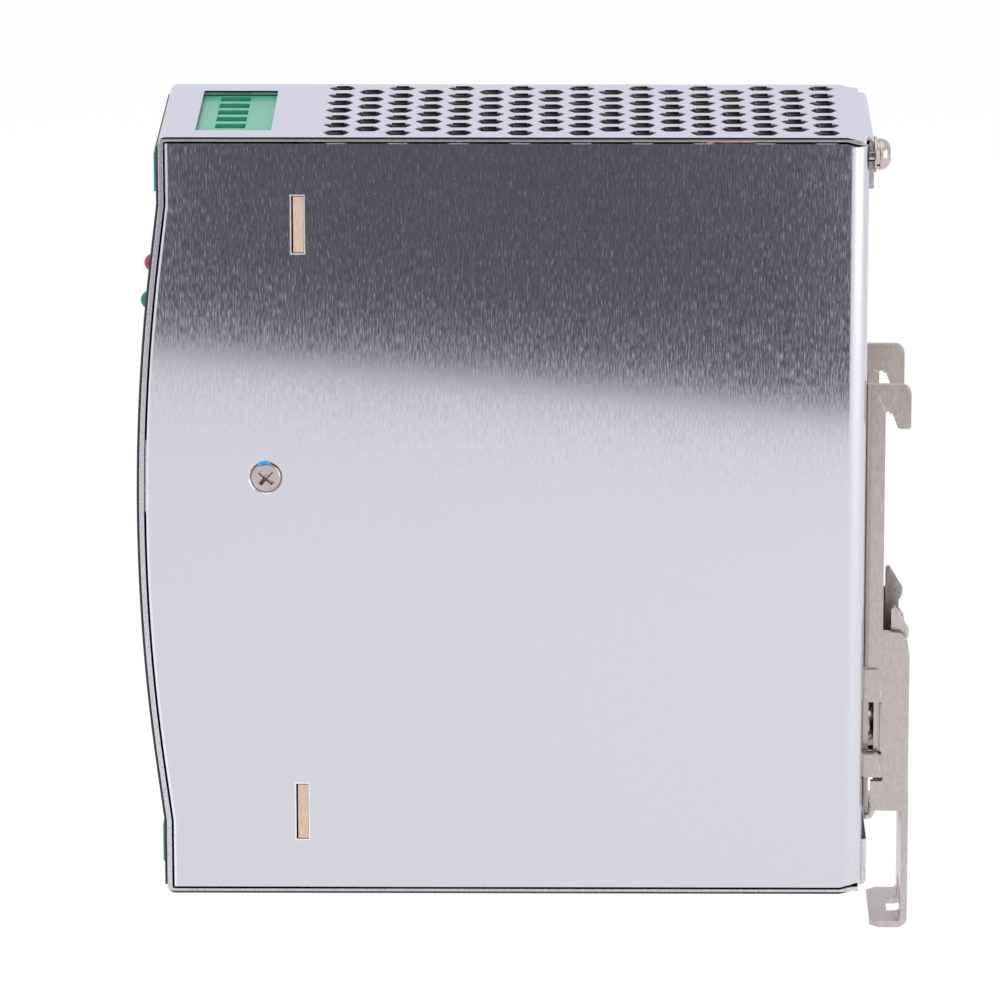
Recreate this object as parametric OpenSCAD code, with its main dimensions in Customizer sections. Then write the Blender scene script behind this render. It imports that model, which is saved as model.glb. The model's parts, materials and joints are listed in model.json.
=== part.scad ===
// DIN rail power supply: folded sheet case, rail bracket with sprung latch,
// screw terminals at the top and bottom of the front, and its electronics.
// Origin: middle of the rail seat. +Y towards the rail, +Z up, +X to the right
// of a person who stands behind the rail.

/* [Case] */
// Width of the case along the rail
case_w = 40; // [40:0.5:50]
// Height of the case
case_h = 125.2; // [125.2:0.1:130]
// Depth of the case from the flat of the front to the back panel
case_d = 112.25; // [112.25:0.05:115]
// Thickness of the folded sheet
sheet = 0.8; // [0.6:0.1:1]
// How far the front bulges in the middle
bulge = 3.75; // [3:0.05:4]
// Gap between the side panels and the cover
seam = 0.35; // [0.2:0.05:0.5]
// Width of the rear flanges of the cover
flange_w = 33; // [30:1:34]

/* [Vents] */
// Size of a vent hexagon across its points
vent_d = 4.42; // [3.6:0.02:4.5]
// Distance between two columns of vents
vent_pitch = 4.84; // [4.7:0.02:4.86]
// Number of vent columns
vent_cols = 17; // [9:2:17]

/* [Rail clip] */
// Thickness of the bracket's sheet
clip_t = 1.1; // [1:0.05:1.3]
// Width of the bracket over its flanges
clip_w = 28; // [27:0.5:30]
// Height of the rail that the clip takes
rail_h = 35; // [35:0.1:35.4]
// Depth of the notch that takes the rail's edge
rail_notch = 1.1; // [1:0.1:1.5]
// Travel of the latch
latch_travel = 5; // [4:0.5:5.5]

/* [Terminals] */
// Pole pitch of the output block
out_pitch = 5.08; // [5:0.02:5.08]
// Pole pitch of the input block
in_pitch = 9.5; // [9:0.5:9.5]
// Diameter of a terminal screw's head
term_head = 3.6; // [3.2:0.1:3.8]

/* [Electronics] */
// Diameter of the two bulk capacitors
bulk_d = 22; // [16:1:22]
// Number of turns of the latch spring
spring_turns = 8; // [6:1:9]

/* [Hidden] */
$fn = 32;
e = 0.01;
hw = case_w / 2;
zt = 64;                 // top of the case
zb = zt - case_h;        // bottom of the case
yb = -3.2;               // outside of the back panel
yf = yb - case_d;        // outside of the front's flats
zc = (zt + zb) / 2 + 0.6;
arc_r = 335;
arc_a = 42;
drop = arc_a * arc_a / (2 * arc_r);
slope = arc_a / arc_r;
// how far the front stands forward at height z
function bow(z) = let (d = abs(z - zc))
  d < arc_a ? bulge - d * d / (2 * arc_r) : max(0, bulge - drop - slope * (d - arc_a));
arc_e = arc_a + (bulge - drop) / slope;
zlist = concat([zc - arc_e], [for (i = [0:24]) zc - arc_a + i * arc_a / 12], [zc + arc_e]);
board_y = -94.2;        // front face of the terminal board
board_t = 1.6;
step_y = -5.2;           // where the top and bottom panels step inwards
step_d = 0.5;
fl_t = 9.1;              // height of the top rear flange
fl_b = 8.3;
vent_y0 = -87.4;
vent_px = vent_pitch * 2 / sqrt(3);
slot_z = [49.8, -47.3];
slot_h = 9.3;
slot_y = [-94.5, -92.55];
screw_y = -98.9;
screw_z = 8.4;
led_x = 11;
led_z = [41.5, 35.4];
trim_x = -10;
trim_z = 38.5;
ci = hw - sheet;         // inside of the side panels

module yz(t, x) { translate([x, 0, 0]) rotate([90, 0, 90]) linear_extrude(t) children(); }
module bar(x, y, z) { translate([x[0], y[0], z[0]]) cube([x[1] - x[0], y[1] - y[0], z[1] - z[0]]); }
module cyl_x(r, x0, x1, y, z) { translate([x0, y, z]) rotate([0, 90, 0]) cylinder(r = r, h = x1 - x0); }
module cyl_y(r, y0, y1, x, z) { translate([x, y1, z]) rotate([90, 0, 0]) cylinder(r = r, h = y1 - y0); }
module cyl_z(r, z0, z1, x, y) { translate([x, y, z0]) cylinder(r = r, h = z1 - z0); }

// ---------- case ----------
module side_outline() {
  g = sheet + seam;
  polygon(concat([[yb - 3, zb + g + step_d], [step_y + 0.4, zb + g + step_d], [step_y - 1.6, zb + g], [yf + g, zb + g]],
    [for (z = zlist) [yf + g - bow(z), z]],
    [[yf + g, zt - g], [step_y - 1.6, zt - g], [step_y + 0.4, zt - g - step_d], [yb - 3, zt - g - step_d]]));
}
module side_panel(s) {
  difference() {
    yz(sheet, s > 0 ? hw - sheet : -hw) side_outline();
    for (z = slot_z) bar([s * hw - 2, s * hw + 2], slot_y, [z - slot_h / 2, z + slot_h / 2]);
    cyl_x(1.6, s * hw - 3, s * hw + 3, screw_y, screw_z);
    translate([s * (hw - 1.1), screw_y, screw_z]) rotate([0, s * 90, 0]) cylinder(r1 = 1.6, r2 = 2.75, h = 1.11);
  }
}
module chassis() {
  h0 = zb + sheet + seam + step_d;
  h1 = zt - sheet - seam - step_d;
  color([0.80, 0.80, 0.84]) {
    union() {
      side_panel(1);
      side_panel(-1);
      // bends and back panel
      difference() {
        union() {
          for (s = [-1, 1]) translate([0, 0, h0]) intersection() {
            translate([s * (hw - 3), yb - 3, 0]) difference() { cylinder(r = 3, h = h1 - h0, $fn = 48); translate([0, 0, -1]) cylinder(r = 3 - sheet, h = h1 - h0 + 2, $fn = 48); }
            translate([s > 0 ? hw - 3 : -hw, yb - 3, 0]) cube([3, 3, h1 - h0]);
          }
          bar([-hw + 3 - e, hw - 3 + e], [yb - sheet, yb], [h0, h1]);
        }
        for (x = [-8, 8]) for (z = [8, -36]) cyl_y(1.55, yb - 5, yb + 5, x, z);
        cyl_y(1.55, yb - 5, yb + 5, 15, 60.2);
        cyl_y(1.55, yb - 5, yb + 5, low_x, low_z);
      }
      // tapped bosses pressed in the back panel
      for (x = [-8, 8]) for (z = [8, -36]) difference() { cyl_y(2.6, yb - sheet - 1.6, yb - sheet + e, x, z); cyl_y(1.55, yb - 5, yb, x, z); }
      for (p = [[15, 60.2], [low_x, low_z]]) difference() { cyl_y(2.4, yb - sheet - 1.6, yb - sheet + e, p[0], p[1]); cyl_y(1.55, yb - 5, yb, p[0], p[1]); }
    }
  }
}

module vent_holes() {
  for (i = [0:vent_cols - 1]) {
    n = i % 2 == 0 ? 7 : 6;
    for (k = [0:n - 1]) translate([(k - (n - 1) / 2) * vent_px, vent_y0 + i * vent_pitch]) rotate(90) circle(d = vent_d, $fn = 6);
  }
}
module top_plate(open_y0, open_y1, open_x) {
  linear_extrude(sheet) difference() {
    translate([-hw, yf + 1.2]) square([case_w, step_y - 1.6 - yf - 1.2]);
    vent_holes();
    translate([-open_x, open_y0]) square([2 * open_x, open_y1 - open_y0]);
  }
}
module rear_hook_top(zo, fl) {
  // step, rear run, bend and flange, drawn for a top panel whose outside is at zo
  yr = yb + sheet;
  union() {
    yz(case_w, -hw) polygon([[step_y - 1.7, zo], [step_y - 1.6, zo], [step_y + 0.4, zo - step_d], [yb - 0.6, zo - step_d], [yb - 0.6, zo - step_d - sheet],
      [step_y + 0.4, zo - step_d - sheet], [step_y - 1.6, zo - sheet], [step_y - 1.7, zo - sheet]]);
    yz(flange_w, -flange_w / 2) polygon(concat([[yb - 0.7, zo - step_d - sheet], [yb, zo - step_d - sheet], [yb, zo - fl]],
      [[yr, zo - fl], [yr, zo - step_d - 1]],
      [for (a = [0:15:90]) [yr - 1 + cos(a) * 1, zo - step_d - 1 + sin(a) * 1]], [[yb - 0.7, zo - step_d]]));
  }
}
module cover() {
  color([0.84, 0.84, 0.88]) difference() {
    union() {
      // front sheet with the bends to the top and the bottom
      yz(case_w, -hw) polygon(concat(
        [for (a = [0:15:90]) [yf + 1.2 - 1.2 * sin(a), zb + 1.2 - 1.2 * cos(a)]],
        [for (z = zlist) [yf - bow(z), z]],
        [for (a = [0:15:90]) [yf + 1.2 - 1.2 * cos(a), zt - 1.2 + 1.2 * sin(a)]],
        [[yf + 1.3, zt], [yf + 1.3, zt - sheet], [yf + 1.2, zt - sheet]],
        [for (a = [0:30:90]) [yf + 1.2 - 0.4 * sin(a), zt - 1.2 + 0.4 * cos(a)]],
        [for (i = [len(zlist) - 1:-1:0]) [yf + sheet - bow(zlist[i]), zlist[i]]],
        [for (a = [0:30:90]) [yf + 1.2 - 0.4 * cos(a), zb + 1.2 - 0.4 * sin(a)]],
        [[yf + 1.3, zb + sheet], [yf + 1.3, zb]]));
      translate([0, 0, zt - sheet]) top_plate(-109.7, -97.8, 15.1);
      translate([0, 0, zb]) top_plate(-109.7, -97.8, 15.1);
      rear_hook_top(zt, fl_t);
      mirror([0, 0, 1]) rear_hook_top(-zb, fl_b);
      // tapped tabs behind the side screws
      for (s = [-1, 1]) {
        yz(sheet, s > 0 ? ci - sheet - 0.05 : -ci + 0.05) polygon([[yf + 0.3 - bow(screw_z), screw_z - 6], [screw_y + 3.5, screw_z - 6], [screw_y + 4.6, screw_z - 4], [screw_y + 4.6, screw_z + 4], [screw_y + 3.5, screw_z + 6], [yf + 0.3 - bow(screw_z), screw_z + 6]]);
      }
    }
    // openings of the front: output block, input block, lamps and trimmer
    bar([-15.7, 15.7], [yf - 6, yf + 3], [53.6, 61.2]);
    bar([-14.7, 14.7], [yf - 6, yf + 3], [-58.4, -50.8]);
    for (z = led_z) cyl_y(1.65, yf - 8, yf + 3, led_x, z);
    cyl_y(2.2, yf - 8, yf + 3, trim_x, trim_z);
    for (s = [-1, 1]) cyl_x(1.55, s * ci - 3, s * ci + 3, screw_y, screw_z);
    cyl_y(1.7, yb - 3, yb + 3, 15, 60.2);
    cyl_y(1.7, yb - 3, yb + 3, low_x, low_z);
  }
}
module front_label() {
  t = 0.4;
  z0 = zb + 1.4; z1 = zt - 1.6;
  zl = concat([z0], zlist, [z1]);
  color([0.30, 0.34, 0.42]) difference() {
    yz(case_w - 0.8, -hw + 0.4) polygon(concat([for (z = zl) [yf - t - bow(z), z]], [for (i = [len(zl) - 1:-1:0]) [yf - bow(zl[i]), zl[i]]]));
    bar([-16.2, 16.2], [yf - 8, yf + 3], [53.2, 61.6]);
    bar([-15.2, 15.2], [yf - 8, yf + 3], [-58.8, -50.4]);
    for (z = led_z) cyl_y(1.8, yf - 8, yf + 3, led_x, z);
    cyl_y(2.5, yf - 8, yf + 3, trim_x, trim_z);
  }
}

// ---------- rail clip ----------
seat_t = rail_h / 2;
shelf = -rail_h / 2 - 1.2;
clip_b = -48.9;          // lower end of the flanges
low_x = -15;             // lower rear screw
low_z = -57;
module bracket_side() {
  // hook, seat edge, shelf and guide of one flange, in Y and Z
  difference() {
    union() {
      translate([yb, shelf - 2]) square([-yb, 22.3 - shelf + 2]);
      // hook
      translate([-1, seat_t]) square([3.5, 22.3 - seat_t]);
      translate([2.3, seat_t - 1]) square([1.8, 22.3 - 1.6 - seat_t + 1]);
      translate([2.5, 20.7]) circle(r = 1.6);
      polygon([[1.1, seat_t + e], [1.95, 15.2], [2.15, 15.0], [3.8, 15.0], [4.1, 15.3], [4.1, 18]]);
      // shelf and the guide below it
      polygon([[-1, shelf], [0, shelf], [2.7, shelf - 0.25], [3.3, shelf - 0.6], [3.65, shelf - 1.3], [3.65, clip_b], [-1.75, clip_b], [-1.75, -43.9],
        [0, -43.9], [0.2, -43.7], [0.2, -43.3], [0.05, -43.1], [yb, -43.1], [yb, -39.1], [-0.35, -39.1], [-0.35, -30.4], [yb, -30.4], [yb, shelf - 1.9]]);
    }
    // relief in the inner corner of the hook and below the lugs
    translate([0.35, seat_t]) circle(r = 0.35);
    for (z = [-30.4, -39.1]) translate([-0.35, z]) circle(r = 0.3);
  }
}
module wrap_lug(z0, z1) {
  polygon([[yb + 0.25, z0 + 0.2], [yb + 0.5, z0], [-0.1, z0], [0.1, z0 + 0.25], [-0.15, z0 + 0.55], [-0.38, z0 + 1.1], [-0.38, z1 - 0.9], [-0.6, z1 - 0.3], [-1.1, z1], [yb + 0.25, z1]]);
}
// what the outer radius of a bend takes off a square corner, along Z
module bend_cut(r, z0, z1) {
  translate([0, 0, z0]) linear_extrude(z1 - z0) difference() {
    translate([-0.5, -0.5]) square([r + 0.5, r + 0.5]);
    translate([r, r]) circle(r = r, $fn = 64);
  }
}
module din_bracket() {
  x = clip_w / 2;
  color([0.70, 0.68, 0.66]) difference() {
   union() {
    // web against the case
    difference() {
      bar([-x, x], [yb, yb + clip_t], [-48.3, 22.3 - 4]);
      for (sx = [-8, 8]) for (z = [8, -36]) cyl_y(1.7, yb - 1, yb + 3, sx, z);
      bar([-4, 4], [yb - 1, yb + 3], [-8, 2]);
      for (s = [-1, 1]) bar([s * 13 - 1.5, s * 13 + 1.5], [yb - 1, yb + 3], [-39.1, -30.4]);
    }
    for (s = [-1, 1]) {
      yz(clip_t, s > 0 ? x - clip_t : -x) bracket_side();
      // outer lugs
      yz(0.5 + e, s > 0 ? x - e : -x - 0.5) wrap_lug(-30.4, -24.9);
      yz(0.5 + e, s > 0 ? x - e : -x - 0.5) wrap_lug(-43.1, -39.2);
    }
    // spring rest, folded out of the web
    bar([-3.2, 3.2], [yb + 0.2, 2.6], [-46.6, -45.5]);
    cyl_z(0.9, -45.6, -43.4, 0, 0.3);
   }
   // bends between the web and the two flanges
   for (r = [[-24.6, 23], [-39.1, -30.4], [-49, -43.1]]) {
     translate([x, yb, 0]) rotate([0, 0, 90]) bend_cut(1.1, r[0], r[1]);
     mirror([1, 0, 0]) translate([x, yb, 0]) rotate([0, 0, 90]) bend_cut(1.1, r[0], r[1]);
   }
  }
}
sl_t = 0.9;
sl_y = 4.4;              // outside of the slider's web
sl_x = clip_w / 2 - clip_t - 0.25;   // outside of the slider's flanges
tab_z = -70.45;
tl_y = sl_y + 0.25;       // outside of the tail
tl_t = sl_t + 0.2;
module slider_side() {
  polygon([[1.35, -24.6], [1.35, -15.4], [1.55, -15.0], [1.85, -14.9], [2.1, -15.1], [4.2, -18.6], [4.2, -19.9], [3.5, -20.8], [3.5, -22.0], [sl_y - 0.4, -22.6],
    [sl_y, -23.2], [sl_y, -48.3], [-1.3, -48.3], [-1.3, -25.4]]);
}
module latch_slider() {
  color([0.72, 0.70, 0.68]) union() {
    for (s = [-1, 1]) yz(sl_t, s > 0 ? sl_x - sl_t : -sl_x) slider_side();
    // web
    bar([-sl_x, sl_x], [sl_y - sl_t, sl_y], [-48.3, -23.2]);
    // spring rest at the top of the web
    bar([-3.2, 3.2], [-1.5, sl_y - sl_t + e], [-26.4, -25.4]);
    cyl_z(0.9, -28.2, -26.3, 0, 0.3);
    // tail, bend and screwdriver tab
    difference() {
      union() {
        bar([-9, 9], [tl_y - tl_t, tl_y], [tab_z + 1.7, -47.6]);
        intersection() {
          difference() { cyl_x(1.7, -9, 9, tl_y - 1.7, tab_z + 1.7); cyl_x(1.7 - tl_t, -10, 10, tl_y - 1.7, tab_z + 1.7); }
          bar([-10, 10], [tl_y - 1.7 - e, tl_y + 0.1], [tab_z - 0.1, tab_z + 1.7 + e]);
        }
        translate([0, 0, tab_z]) linear_extrude(tl_t) polygon([[-9, tl_y - 1.7 + e], [-9, 0.1], [-7.5, -1.4], [7.5, -1.4], [9, 0.1], [9, tl_y - 1.7 + e]]);
      }
      bar([-3.4, 3.4], [1.55, 5], [tab_z - 1, tab_z + 5.5]);
    }
  }
}
// compression spring that lifts the latch
sp_r = 1.75; sp_w = 0.35; sp_z0 = -45.1; sp_z1 = -26.8;
sp_n = 16;
function coil_p(i) = let (n = spring_turns * sp_n, a = 360 * i / sp_n, u = i / n)
  [sp_r * cos(a), 0.3 + sp_r * sin(a), sp_z0 + (sp_z1 - sp_z0) * u];
module latch_spring() {
  n = spring_turns * sp_n;
  pts = [for (i = [0:n]) let (p = coil_p(i), a = 360 * i / sp_n) for (k = [0:5]) [p[0] + sp_w * cos(60 * k) * cos(a), p[1] + sp_w * cos(60 * k) * sin(a), p[2] + sp_w * sin(60 * k)]];
  color([0.55, 0.56, 0.58]) polyhedron(pts, concat([[for (k = [5:-1:0]) k]], [[for (k = [0:5]) n * 6 + k]],
    [for (i = [0:n - 1]) for (k = [0:5]) [i * 6 + k, i * 6 + (k + 1) % 6, (i + 1) * 6 + (k + 1) % 6, (i + 1) * 6 + k]]), convexity = 10);
}

// ---------- screws ----------
module cross_cut(w, d) { for (a = [0, 90]) rotate(a) translate([-w / 2, -w / 7, 0]) cube([w, w / 3.5, d]); }
// pan head screw along +Z, head underside at z = 0
module pan_screw(r, hr, hh, l) {
  difference() {
    union() { cylinder(r = hr, h = hh * 0.55); translate([0, 0, hh * 0.55 - e]) cylinder(r1 = hr, r2 = hr * 0.72, h = hh * 0.45); translate([0, 0, -l]) cylinder(r = r, h = l + e); }
    translate([0, 0, hh * 0.45]) cross_cut(hr * 1.15, hh);
  }
}
module bracket_screws() {
  color([0.75, 0.74, 0.70]) for (x = [-8, 8]) for (z = [8, -36]) translate([x, yb + clip_t, z]) rotate([-90, 0, 0]) pan_screw(1.5, 2.6, 1.6, 4.4);
}
module rear_screws() {
  color([0.78, 0.76, 0.72]) for (p = [[15, 60.2, yb + sheet + 0.9], [low_x, low_z, yb + sheet + 0.9]]) translate([p[0], p[2], p[1]]) rotate([-90, 0, 0]) pan_screw(1.5, 2.5, 1.75, 4.6);
}
module rear_washers() {
  color([0.66, 0.65, 0.62]) for (p = [[15, 60.2], [low_x, low_z]]) translate([p[0], yb + sheet, p[1]]) rotate([-90, 0, 0]) {
    difference() { cylinder(r = 2.9, h = 0.4); translate([0, 0, -1]) cylinder(r = 1.6, h = 3); }
    translate([0, 0, 0.4]) difference() { cylinder(r = 2.45, h = 0.5); translate([0, 0, -1]) cylinder(r = 1.6, h = 3); rotate(35) translate([0, -0.2, -1]) cube([4, 0.4, 3]); }
  }
}
module side_screws() {
  color([0.80, 0.79, 0.76]) for (s = [-1, 1]) translate([s * hw, screw_y, screw_z]) rotate([0, s * 90, 0]) difference() {
    union() {
      translate([0, 0, -1.1]) cylinder(r1 = 1.25, r2 = 2.35, h = 1.1);
      translate([0, 0, -4.6]) cylinder(r = 1.25, h = 4.6 - 1.1 + e);
    }
    rotate(45) translate([0, 0, -0.7]) cross_cut(2.9, 1);
  }
}

// ---------- terminal blocks ----------
ob_y0 = -116.4;          // face of the screw row
ob_yf = yf + sheet + 0.15;
ob_y1 = board_y;
ob_z1 = zt - sheet - 0.15;
ob_z0 = 49.4;
zs = 57.2;               // screw row of the output block
cg_y = board_y - 15.05;   // front of an open clamp
wire_y = [board_y - 12.75, board_y - 7.95];  // wire entry
clamp_travel = 3.5;
thread = 0.5;            // pitch of the clamp screws
// a row of cage terminals with the wire entry upwards:
// n poles, pitch p, cage pocket pw wide, wire entry ew wide, head and shank diameters
module block_body(n, p, pw, ew, head, shank) {
  w = n * p;
  difference() {
    union() {
      bar([-w / 2 - 0.5, w / 2 + 0.5], [ob_yf, ob_y1], [ob_z0, ob_z1]);
      bar([-w / 2, w / 2], [ob_y0, ob_yf + e], [zs - 3.1, zs + 3.2]);
    }
    for (i = [0:n - 1]) translate([(i - (n - 1) / 2) * p, 0, 0]) {
      // wire entry and cage pocket
      bar([-ew / 2, ew / 2], wire_y, [zs, ob_z1 + 1]);
      bar([-pw / 2, pw / 2], [board_y - 18.85, board_y - 6.55], [ob_z0 + 2.5, zs + 2.9]);
      // screw well and shank hole
      cyl_y(head / 2 + 0.2, ob_y0 - 1, board_y - 19.1, 0, zs);
      cyl_y(shank / 2 + 0.15, board_y - 19.7, board_y - 18, 0, zs);
      // way for the contact bar's leg
      bar([-1.05, 1.05], [board_y - 7, ob_y1 + 1], [ob_z0 + 2.6, ob_z0 + 3.9]);
    }
    // grooves between the poles in the face
    for (i = [1:n - 1]) bar([(i - n / 2) * p - 0.25, (i - n / 2) * p + 0.25], [ob_y0 - 1, ob_y0 + 0.9], [zs - 4, zs + 4]);
  }
}
module output_block() { color([0.20, 0.62, 0.48]) block_body(6, out_pitch, 4.2, 3.4, term_head, 2.5); }
// the input block has the same section, turned upside down
in_z1 = -zb - sheet - 0.15;
in_off = ob_z1 - in_z1;
module input_flip() { mirror([0, 0, 1]) translate([0, 0, -in_off]) children(); }
module input_block() { color([0.20, 0.62, 0.48]) input_flip() block_body(3, in_pitch, 6.6, 5.2, 4.6, 3); }
// contact bars: the plate in the cage and the leg through the board
module contact(w) {
  bar([-w / 2, w / 2], [board_y - 13.75, board_y - 12.85], [ob_z0 + 2.8, zs + 2.2]);
  bar([-0.9, 0.9], [board_y - 12.95, board_y + board_t + 1.5], [ob_z0 + 2.8, ob_z0 + 3.7]);
}
module output_contacts() { color([0.80, 0.78, 0.70]) for (i = [0:5]) translate([(i - 2.5) * out_pitch, 0, 0]) contact(2.6); }
module input_contacts() { color([0.80, 0.78, 0.70]) input_flip() for (i = [0:2]) translate([(i - 1) * in_pitch, 0, 0]) contact(4.4); }
// clamp screw along Y with its head towards the front
module clamp_screw(r, hr) {
  translate([0, board_y - 19.2, zs]) rotate([90, 0, 0]) difference() {
    union() { cylinder(r = hr, h = 2.0); translate([0, 0, -5.3]) cylinder(r = r, h = 5.3 + e); }
    translate([-hr - 1, -0.3, 1.1]) cube([2 * hr + 2, 0.6, 2]);
    translate([-0.3, -hr * 0.6, 1.0]) cube([0.6, hr * 1.2, 2]);
  }
}
// clamp: a frame that the screw draws to the front, so that its far wall presses the wire on the bar
module clamp_cage(w, r) {
  difference() {
    bar([-w / 2, w / 2], [cg_y, board_y - 6.85], [zs - 2.3, zs + 2.4]);
    bar([-w / 2 + 0.55, w / 2 - 0.55], [cg_y + 1.2, board_y - 7.85], [zs - 4, zs + 4]);
    cyl_y(r + 0.05, cg_y - 1, cg_y + 2, 0, zs);
  }
}
module output_screw(k) { color([0.78, 0.77, 0.74]) translate([(k - 3.5) * out_pitch, 0, 0]) clamp_screw(1.25, term_head / 2); }
module output_clamp(k) { color([0.74, 0.73, 0.70]) translate([(k - 3.5) * out_pitch, 0, 0]) clamp_cage(3.95, 1.25); }
module input_screw(k) { color([0.78, 0.77, 0.74]) input_flip() translate([(k - 2) * in_pitch, 0, 0]) clamp_screw(1.5, 2.3); }
module input_clamp(k) { color([0.74, 0.73, 0.70]) input_flip() translate([(k - 2) * in_pitch, 0, 0]) clamp_cage(6.3, 1.5); }
module output_screw_1() { output_screw(1); }
module output_screw_2() { output_screw(2); }
module output_screw_3() { output_screw(3); }
module output_screw_4() { output_screw(4); }
module output_screw_5() { output_screw(5); }
module output_screw_6() { output_screw(6); }
module output_clamp_1() { output_clamp(1); }
module output_clamp_2() { output_clamp(2); }
module output_clamp_3() { output_clamp(3); }
module output_clamp_4() { output_clamp(4); }
module output_clamp_5() { output_clamp(5); }
module output_clamp_6() { output_clamp(6); }
module input_screw_1() { input_screw(1); }
module input_screw_2() { input_screw(2); }
module input_screw_3() { input_screw(3); }
module input_clamp_1() { input_clamp(1); }
module input_clamp_2() { input_clamp(2); }
module input_clamp_3() { input_clamp(3); }

// ---------- boards ----------
tb_z = [-58.6, 61.4];
module terminal_board() {
  color([0.10, 0.38, 0.20]) difference() {
    union() {
      bar([-ci + 0.2, ci - 0.2], [board_y, board_y + board_t], tb_z);
      for (z = slot_z) for (s = [-1, 1]) bar([s > 0 ? ci - 1 : -hw, s > 0 ? hw : -ci + 1], [board_y, board_y + board_t], [z - slot_h / 2 + 0.15, z + slot_h / 2 - 0.15]);
    }
    for (i = [0:5]) bar([(i - 2.5) * out_pitch - 1.05, (i - 2.5) * out_pitch + 1.05], [board_y - 1, board_y + 3], [ob_z0 + 2.7, ob_z0 + 3.8]);
    for (i = [0:2]) bar([(i - 1) * in_pitch - 1.05, (i - 1) * in_pitch + 1.05], [board_y - 1, board_y + 3], [in_off - ob_z0 - 3.8, in_off - ob_z0 - 2.7]);
    // room for the side screws' ends
    bar([-8, 8], [board_y - 1, board_y + 3], [-30, 26]);
  }
}
mb_x = -15.6;            // solder side of the main board
mx = mb_x + board_t;     // component side
hole_yz = [[-84, 52], [-84, -50], [-14, 52], [-14, -50]];
module main_board() {
  color([0.12, 0.42, 0.22]) difference() {
    bar([mb_x, mx], [-92.2, -7.6], [-56, 58]);
    for (p = hole_yz) cyl_x(1.7, mb_x - 1, mx + 1, p[0], p[1]);
  }
}
module board_standoffs() {
  color([0.80, 0.76, 0.60]) for (p = hole_yz) union() {
    cyl_x(2.8, -ci + 0.05, mb_x - 0.02, p[0], p[1]);
    cyl_x(1.6, mb_x - 0.1, mx + 0.02, p[0], p[1]);
    cyl_x(2.8, mx + 0.02, mx + 1.6, p[0], p[1]);
  }
}
module insulating_sheet() {
  color([0.92, 0.90, 0.82]) difference() {
    bar([-ci + 0.3, -ci + 0.55], [-92, -8], [-57, 59]);
    for (p = hole_yz) cyl_x(3.1, -ci - 1, -ci + 2, p[0], p[1]);
  }
}

// ---------- lamps and trimmer ----------
module led(z, c) {
  yl = yf - bow(z) - 0.4 - 1.1;
  color(c) union() {
    // dome and barrel, turned in one piece
    translate([led_x, yl, z]) rotate([-90, 0, 0]) rotate_extrude() polygon(concat([for (a = [0:10:90]) [1.5 * sin(a), 1.5 - 1.5 * cos(a)]], [[1.5, 4.35], [0, 4.35]]));
    cyl_y(1.9, yl + 4.3, yl + 5.3, led_x, z);
    for (dx = [-1.27, 1.27]) bar([led_x + dx - 0.25, led_x + dx + 0.25], [yl + 5.2, board_y], [z - 0.25, z + 0.25]);
  }
}
module red_led() { led(led_z[0], [0.80, 0.12, 0.16]); }
module green_led() { led(led_z[1], [0.05, 0.50, 0.36]); }
module led_spacers() {
  color([0.10, 0.10, 0.11]) for (z = led_z) difference() {
    cyl_y(2.4, yf - bow(z) - 1.5 + 5.4, board_y - 0.05, led_x, z);
    for (dx = [-1.27, 1.27]) bar([led_x + dx - 0.4, led_x + dx + 0.4], [yf - 9, board_y + 1], [z - 0.4, z + 0.4]);
  }
}
tr_y = -105.8;
module trimmer_body() {
  color([0.15, 0.35, 0.75]) difference() {
    bar([trim_x - 4.6, trim_x + 4.6], [tr_y, board_y - 0.02], [trim_z - 4.6, trim_z + 4.6]);
    cyl_y(2.9, tr_y - 1, tr_y + 3, trim_x, trim_z);
  }
}
module trimmer_rotor() {
  color([0.95, 0.93, 0.88]) translate([trim_x, 0, trim_z]) difference() {
    union() {
      cyl_y(2.85, tr_y + 0.3, tr_y + 2.9, 0, 0);
      cyl_y(1.9, -116.6, tr_y + 0.4, 0, 0);
    }
    bar([-3, 3], [-117, -115.7], [-0.35, 0.35]);
    bar([-0.35, 0.35], [-117, -115.7], [-1.1, 1.1]);
  }
}

// ---------- electronics ----------
module fuse() {
  y = -71; z = -50;
  color([0.85, 0.84, 0.78]) union() {
    cyl_y(2.4, y - 7, y + 7, mx + 4.6, z);
    for (s = [-1, 1]) cyl_y(2.65, y + s * 8 - 2.2, y + s * 8 + 2.2, mx + 4.6, z);
    for (s = [-1, 1]) bar([mx, mx + 2.4], [y + s * 8 - 1.5, y + s * 8 + 1.5], [z - 2, z + 2]);
  }
}
module thermistor() {
  color([0.12, 0.14, 0.13]) union() {
    translate([mx + 9.5, -58, -50]) rotate([90, 0, 0]) cylinder(r = 6.5, h = 4.5, center = true);
    for (s = [-1, 1]) cyl_x(0.5, mx, mx + 6, -58, -50 + s * 3.4);
  }
}
module ring(r0, r1, h, r) {
  rotate_extrude($fn = 64) translate([(r0 + r1) / 2, 0]) union() {
    square([r1 - r0 - 2 * r, h], center = true);
    square([r1 - r0, h - 2 * r], center = true);
    for (a = [-1, 1]) for (b = [-1, 1]) translate([a * ((r1 - r0) / 2 - r), b * (h / 2 - r)]) circle(r = r, $fn = 16);
  }
}
module choke_core() {
  color([0.25, 0.27, 0.25]) translate([mx + 11, -34, -46]) rotate([90, 0, 0]) ring(4.4, 8.2, 8, 0.8);
}
module choke_winding() {
  color([0.72, 0.38, 0.18]) translate([mx + 11, -34, -46]) rotate([90, 0, 0]) for (a = [-62, 118]) rotate(a) intersection() {
    difference() { ring(2.8, 9.9, 11.2, 1.4); ring(4.35, 8.25, 8.1, 0.8); }
    translate([0, 0, -8]) linear_extrude(16) polygon([[0, 0], [14, 0], [14, 14], [0, 14], [-8, 14]]);
  }
}
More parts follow.
